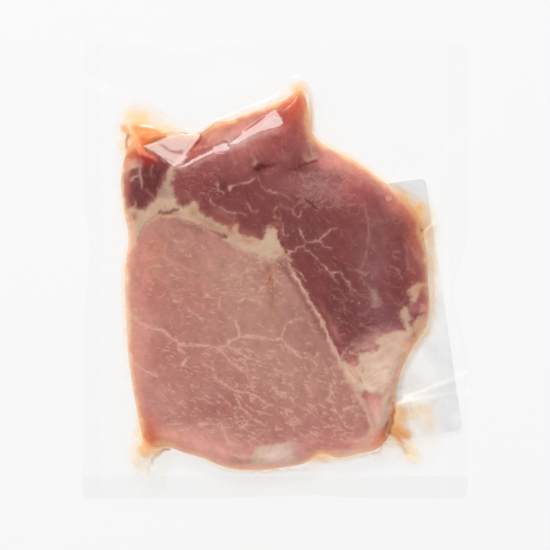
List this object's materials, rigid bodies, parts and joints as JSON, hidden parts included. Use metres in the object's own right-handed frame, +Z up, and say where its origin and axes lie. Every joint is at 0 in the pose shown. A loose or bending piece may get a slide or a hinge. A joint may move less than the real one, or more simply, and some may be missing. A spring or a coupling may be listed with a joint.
{
  "type": "vacuum-packed sliced pork loin",
  "caption": "Slice of raw pork loin with a pale eye, dark side muscle and fat seams, sealed flat in a clear film pouch with its own juice and a plain paper label on the back.",
  "frame": {"origin": "on the table, under the middle of the pouch's outline", "axes": "+Y towards the pouch's top edge, +X to the right as it is looked down on, +Z up through the pack"},
  "size_m": [0.169, 0.201, 0.0122],
  "materials": {
    "packed_meat": "raw pork under tight clear film",
    "film": "clear glossy film",
    "pork": "moist cut muscle with fat seams",
    "juice": "clear orange-red meat juice",
    "label": "matt white paper"
  },
  "bodies": {
    "root": {"pouch": "packed_meat", "label": "label"}
  },
  "joints": []
}
